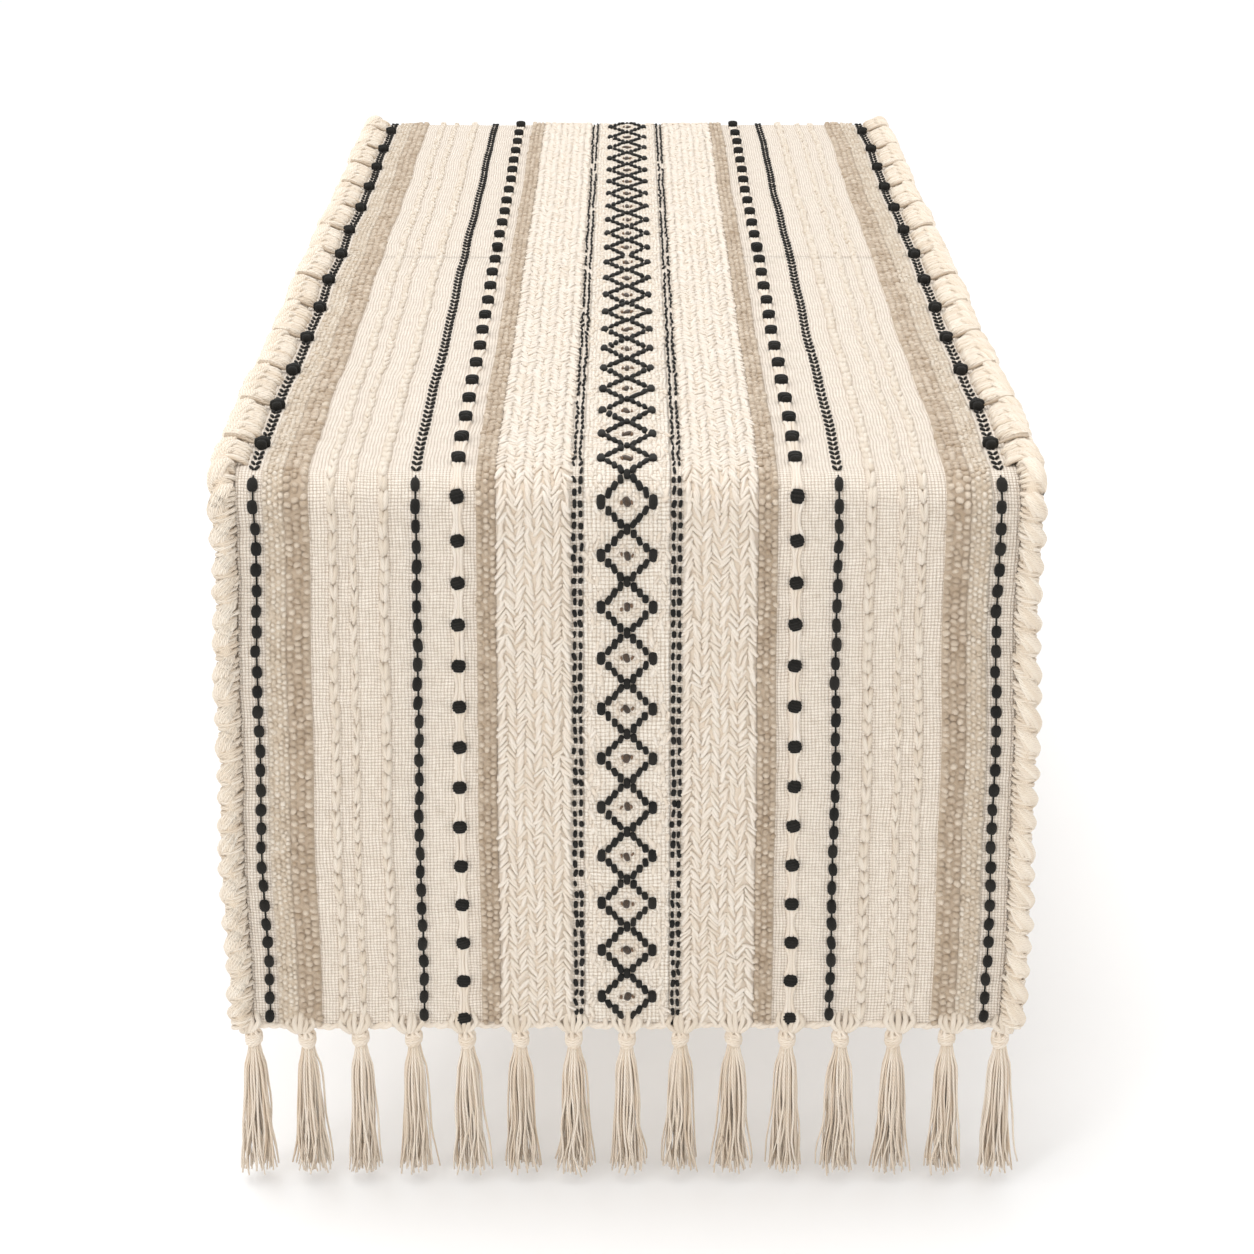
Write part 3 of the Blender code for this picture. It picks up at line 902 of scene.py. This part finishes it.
def lacing(end, side):
    """Whip-stitched cord: leaf-shaped lobes of strands over close turns along the cloth's side.

    A lobe's strand turns round the core from its outer side over the top to the cloth, while it
    climbs along it. The lobe rises from under its neighbour, swells in its middle and ends in a
    tip on the cloth. A thinner strand inside the core closes the way through to the cloth's side.
    The core and that strand take the low fixed shade 0.3, as painted shade under the lobes.
    """
    shape = Shape()
    sign = 1 if side == "right" else -1
    facing = -ENDS[end]
    s = np.arange(0.0, HALF_LENGTH - 1.5 * MM, 2.0 * MM)
    # The core and the inner strand take the low shade 0.3: painted shade under the lobes.
    path = laid(np.full(len(s), sign * (CORD_MIDDLE - 0.6 * MM)), s, CORD_RADIUS * 0.85, end)
    add_tubes(shape, path[None], (2.2 + 0.5 * tie_pinch(s)[None]) * MM, 9, 0.3, side_way=(1, 0, 0))
    seam = laid(np.full(len(s), sign * (CLOTH_HALF + 1.4 * MM)), s, 1.4 * MM, end)
    add_tubes(shape, seam[None], 1.5 * MM, 6, 0.3, side_way=(1, 0, 0))
    edge_wraps(shape, end, sign, 1.9 * MM, 0.95 * MM, facing * 3.0 * MM, 3.6 * MM, 2.3 * MM)
    pitch = 10.4 * MM
    middles = spaced(pitch, start=-pitch, stop=HALF_LENGTH + 1 * MM, jitter=1.8 * MM)
    n = len(middles)
    t = np.linspace(0, 1, 11)
    reach = DRAW.uniform(0.3, 1.5, (n, 1))
    climb = DRAW.uniform(11.0, 18.5, (n, 1)) * MM
    fullness = DRAW.uniform(0.72, 1.04, (n, 1))
    pinch = tie_pinch(middles)[:, None]
    strands = 5
    swell = np.sin(math.pi * t) ** 0.8
    turn = np.radians(-35 + 175 * t)
    along = middles[:, None] - facing * (t - 0.5) * climb
    tip = smooth_step((t - 0.75) / 0.25)
    rising = np.stack([np.broadcast_to(np.sin(turn) * -3.3 * MM * math.pi, along.shape),
                       np.broadcast_to(-facing * climb, along.shape)], -1)
    rising /= np.linalg.norm(rising, axis=-1, keepdims=True)
    for k in range(strands):
        off = (k - (strands - 1) / 2) * 1.05 * MM * (0.2 + 0.8 * swell)
        crown = 0.22 * (k - (strands - 1) / 2) ** 2
        bulge = (2.6 - crown) * np.sin(math.pi * t) ** 0.8 * (0.45 + 0.55 * pinch) * fullness
        radius = (1.7 + bulge) * MM
        inward = smooth_step((t - 0.66) / 0.34) * 1.2 * MM * reach
        across = CORD_MIDDLE - 0.7 * MM + radius * np.cos(turn) - inward - rising[..., 1] * off
        height = CORD_RADIUS * 0.85 + radius * np.sin(turn)
        height = height + (CLOTH + 0.7 * MM - height) * tip
        place = np.clip(along + rising[..., 0] * off, 0.5 * MM, HALF_LENGTH - 0.6 * MM)
        thick = 1.0 * MM * (0.5 + 0.5 * np.sin(math.pi * t) ** 0.5)
        add_tubes(shape, laid(sign * across, place, height, end), thick, 6,
                  DRAW.uniform(0.45, 1, n), side_way=(0.3, 0.2, 0.93))
    return cloth_piece(f"{end}_{side}_edge_lacing", shape, end, "lacing_cord", LACING,
                       nodes=packed(end, f"{side}_lacing"))


# ---------------------------------------------------------------- hem and tassels

TASSEL_NAMES = sorted(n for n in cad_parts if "_tassel_" in n)


def tassel_place(name):
    """Middle across, pivot height, tip height and skirt radius of a packed tassel."""
    low, high = node_box(name)
    return (low[0] + high[0]) / 2, high[2] - 1.3 * MM, low[2], (high[0] - low[0]) / 2


def hanging_piece(name, shape, material, body, nodes=()):
    """Finishes a piece that moves with one body."""
    obj = shape.object(name, material)
    if nodes:
        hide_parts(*nodes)
    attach(obj, body)
    return obj


def hem_roll(end):
    """Two plies of yarn twisted along the hem, drooping a little between the tassels."""
    shape = Shape()
    u = np.linspace(-CLOTH_HALF - 0.5 * MM, CLOTH_HALF + 0.5 * MM, 260)
    pitch = abs(tassel_place(f"{end}_tassel_01")[0]) / 7
    droop = 0.6 * MM * np.cos(2 * math.pi * u / pitch) + 0.3 * MM * np.sin(u * 410 + 1)
    for ply in (0, 1):
        turn = u * 2 * math.pi / (8.5 * MM) + ply * math.pi
        s = HALF_LENGTH - 2.0 * MM - droop + 0.6 * MM * np.cos(turn)
        h = CLOTH / 2 + 0.3 * MM + 0.6 * MM * np.sin(turn)
        thick = 1.15 * MM * (1 + 0.12 * np.sin(u * 530 + ply))
        add_tubes(shape, laid(u, s, h, end)[None], thick[None], 8, 0.6, side_way=(0, 0, 1))
    return hanging_piece(f"{end}_hem_roll", shape, CREAM, f"{end}_drop")


def hem_fans(end):
    """At each tassel, five thick yarns that rise from its loop, bow apart and sink into the cloth.

    A yarn's distance from the tassel's middle line grows as a quarter sine, and the outer yarns
    turn back in at the top by a smooth step.
    """
    shape = Shape()
    t = np.linspace(0, 1, 11)
    middles = np.array([tassel_place(n)[0] for n in TASSEL_NAMES if n.startswith(end)])
    n = len(middles)
    for k in range(5):
        lean = (k - 2) / 2
        reach = DRAW.uniform(6.0, 8.6, (n, 1)) * MM * (1.1 - 0.2 * abs(lean))
        back_in = DRAW.uniform(0.3, 1.6, (n, 1)) * smooth_step((t - 0.55) / 0.45)
        open_out = 1.5 + 3.7 * np.sin(np.minimum(1.5 * t, 1) * math.pi / 2) - back_in
        across = middles[:, None] + (lean * open_out + DRAW.normal(0, 0.5, (n, 1)) * t) * MM
        along = HALF_LENGTH + 0.7 * MM - (reach + 0.7 * MM) * t
        height = CLOTH + (0.35 + 0.9 * np.sin(math.pi * np.clip(t + 0.15, 0, 1))) * MM
        height = height - smooth_step((t - 0.8) / 0.2) * 1.6 * MM
        limit = CLOTH_HALF + 3.5 * MM
        path = laid(np.clip(across, -limit, limit), along, height + 0 * along, end)
        thick = DRAW.uniform(1.05, 1.35, (n, 1)) * MM * (1 - 0.15 * t)
        add_tubes(shape, path, thick, 7, DRAW.uniform(0.3, 1, n))
    return hanging_piece(f"{end}_hem_fans", shape, SLUB, f"{end}_drop")


def tassel(name):
    """A knot of wound yarn over a skirt of loose strands.

    The skirt's radius grows fast from the waist to the shoulder, then slowly, then faster again
    to the tip. Each strand keeps its own share of that radius and sways with its own sine.
    """
    end = name.split("_")[0]
    x, pivot, tip, skirt = tassel_place(name)
    y = ENDS[end] * DROP_FACE
    shape = Shape()
    knot = pivot - 2.7 * MM
    tip = tip + 3.5 * MM

    def around(radius, turn, z, squash=1.0):
        z = np.broadcast_to(z, np.broadcast_shapes(np.shape(radius), np.shape(turn), np.shape(z)))
        return np.stack([x + radius * np.cos(turn), y + squash * radius * np.sin(turn), z], -1)

    # Skirt
    count = 58
    strays = 5
    t = np.linspace(0, 1, 13)
    turn = DRAW.uniform(0, 2 * math.pi) + np.arange(count) * GOLDEN_ANGLE
    share = np.sqrt((np.arange(count) + 0.6) / count)
    share[-strays:] = DRAW.uniform(1.03, 1.16, strays)
    widest = skirt * DRAW.uniform(0.86, 1.02)
    length = (knot - tip) - 2.6 * MM
    shoulder = smooth_step(t / 0.22)
    spread = 1.9 * MM + 2.2 * MM * shoulder + (widest - 4.1 * MM) * (0.3 * t + 0.7 * t**2.4)
    radius = share[:, None] * spread
    radius = radius * (1 + 0.1 * np.sin(3.1 * t + DRAW.uniform(0, 6, (count, 1))) * t)
    wave = np.sin(t * DRAW.uniform(5, 14, (count, 1)) + DRAW.uniform(0, 6, (count, 1)))
    bend = turn[:, None] + 0.22 * t * wave + DRAW.normal(0, 0.16, (count, 1)) * t
    ends = DRAW.uniform(0.95, 1.01, (count, 1))
    droop = 0.5 * MM * DRAW.normal(0, 0.5) * t**2
    depth = knot - 2.6 * MM - length * t * ends
    paths = around(radius, bend, depth, 0.8)
    paths[..., 0] += droop + 0.45 * MM * t * np.sin(11 * t + DRAW.uniform(0, 6, (count, 1)))
    thick = DRAW.uniform(0.4, 0.54, (count, 1)) * MM * (1 - 0.3 * t**3)
    shade = np.clip(DRAW.normal(0.6, 0.25, count), 0, 1)
    add_tubes(shape, paths, thick, 5, shade)
    # Knot: a core with slanted turns of yarn round it, and yarns over its top
    turns = np.linspace(0, 2 * math.pi, 25)
    rise = np.linspace(-1, 1, 9)
    core_path = np.stack([np.full(9, x), np.full(9, y), knot + rise * 2.9 * MM], -1)
    add_tubes(shape, core_path[None], (2.9 * MM * np.sqrt(1.1 - rise**2))[None], 12, 0.5)
    lean = DRAW.uniform(0, 2 * math.pi)
    for k, level in enumerate((-2.35, -1.3, -0.25, 0.8, 1.85)):
        ring = math.sqrt(3.55**2 - level**2) * MM - 0.6 * MM
        slant = 0.75 * MM * np.sin(turns - lean)
        path = around(ring, turns, knot + level * MM + slant, 0.95)
        add_tubes(shape, path[None], 0.72 * MM, 6, DRAW.uniform(0.4, 0.95), side_way=(0, 0, 1))
    t = np.linspace(0, 1, 8)
    for k in range(6):
        turn = k * 2 * math.pi / 6 + DRAW.uniform(-0.2, 0.2)
        radius = 0.9 * MM + 1.9 * MM * np.sin(t * math.pi * 0.5)
        path = around(radius, turn + 0.4 * t, knot + 4.4 * MM - t * 3.0 * MM, 0.9)
        add_tubes(shape, path[None], 0.85 * MM, 6, DRAW.uniform(0.4, 0.95))
    return hanging_piece(f"{name}_yarn", shape, FLAX, name, nodes=[name])


# ---------------------------------------------------------------- build

for end in ENDS:
    cloth = woven_cloth(end)
    on_cloth = [
        diamond_ground(end), diamond_slubs(end), diamond_stitches(end), diamond_hearts(end),
        dotted_lines(end),
        herringbone(end, "left"), herringbone(end, "right"), inner_tan_weave(end),
        wound_knots(end), float_yarns(end),
        beaded_row(end, "inner_beads", INNER_BEADS, 7.8 * MM, 5.5 * MM, 3.5 * MM),
        slub_ribs(end), outer_tan_weave(end), boucle_strip(end),
        beaded_row(end, "outer_beads", OUTER_BEADS, 8.1 * MM, 5.1 * MM, 3.85 * MM),
        edge_ties(end), tie_knots(end), lacing(end, "left"), lacing(end, "right"),
        hem_roll(end), hem_fans(end),
    ]
    on_cloth += [tassel(name) for name in TASSEL_NAMES if name.startswith(end)]


# ---------------------------------------------------------------- floor, light and camera


def stage_floor():
    """A round pale floor just under the tassels' tips."""
    floor_z = CAD_BOX[0][2] - 1.5 * MM
    bpy.ops.mesh.primitive_circle_add(vertices=96, radius=14, fill_type="NGON",
                                      location=(0, 0, floor_z))
    floor = bpy.context.object
    floor.name = "floor"
    material = bpy.data.materials.new("pale_floor")
    material.use_nodes = True
    shader = material.node_tree.nodes["Principled BSDF"]
    shader.inputs["Base Color"].default_value = (0.93, 0.93, 0.93, 1)
    shader.inputs["Roughness"].default_value = 1.0
    shader.inputs["Specular IOR Level"].default_value = 0.0
    floor.data.materials.append(material)


def soft_light(name, place, target, size, power):
    """A round lamp at a place, turned towards a target."""
    lamp = bpy.data.lights.new(name, "AREA")
    lamp.shape = "DISK"
    lamp.size = size
    lamp.energy = power
    obj = bpy.data.objects.new(name, lamp)
    bpy.context.scene.collection.objects.link(obj)
    obj.location = place
    away = Vector(place) - Vector(target)
    obj.rotation_euler = away.to_track_quat("Z", "Y").to_euler()


def studio():
    """Pale floor, an even white room and two soft lamps."""
    stage_floor()
    world = bpy.data.worlds.new("pale_room")
    world.use_nodes = True
    world.node_tree.nodes["Background"].inputs["Color"].default_value = (1, 1, 1, 1)
    world.node_tree.nodes["Background"].inputs["Strength"].default_value = 1.0
    bpy.context.scene.world = world
    soft_light("overhead", (-0.3, 0.1, 2.2), (0, 0, 0), 1.4, 23)
    soft_light("front_left", (-1.5, -1.9, 1.0), (0, -0.3, -0.1), 0.8, 10)
    bpy.context.scene.view_settings.view_transform = "Standard"


def camera():
    """Straight ahead of the front end, above it and tilted down."""
    tilt = math.radians(19.2)
    lens = bpy.data.cameras.new("camera")
    lens.lens = 75.6
    lens.sensor_width = 36
    lens.shift_y = -0.12
    lens.clip_start = 0.01
    obj = bpy.data.objects.new("camera", lens)
    bpy.context.scene.collection.objects.link(obj)
    obj.location = (0, -1.224, 0.317)
    obj.rotation_euler = (math.pi / 2 - tilt, 0, 0)
    bpy.context.scene.camera = obj


studio()
camera()


def corners(box):
    """A box's two corners as plain lists of numbers."""
    return [[float(x) for x in corner] for corner in box]
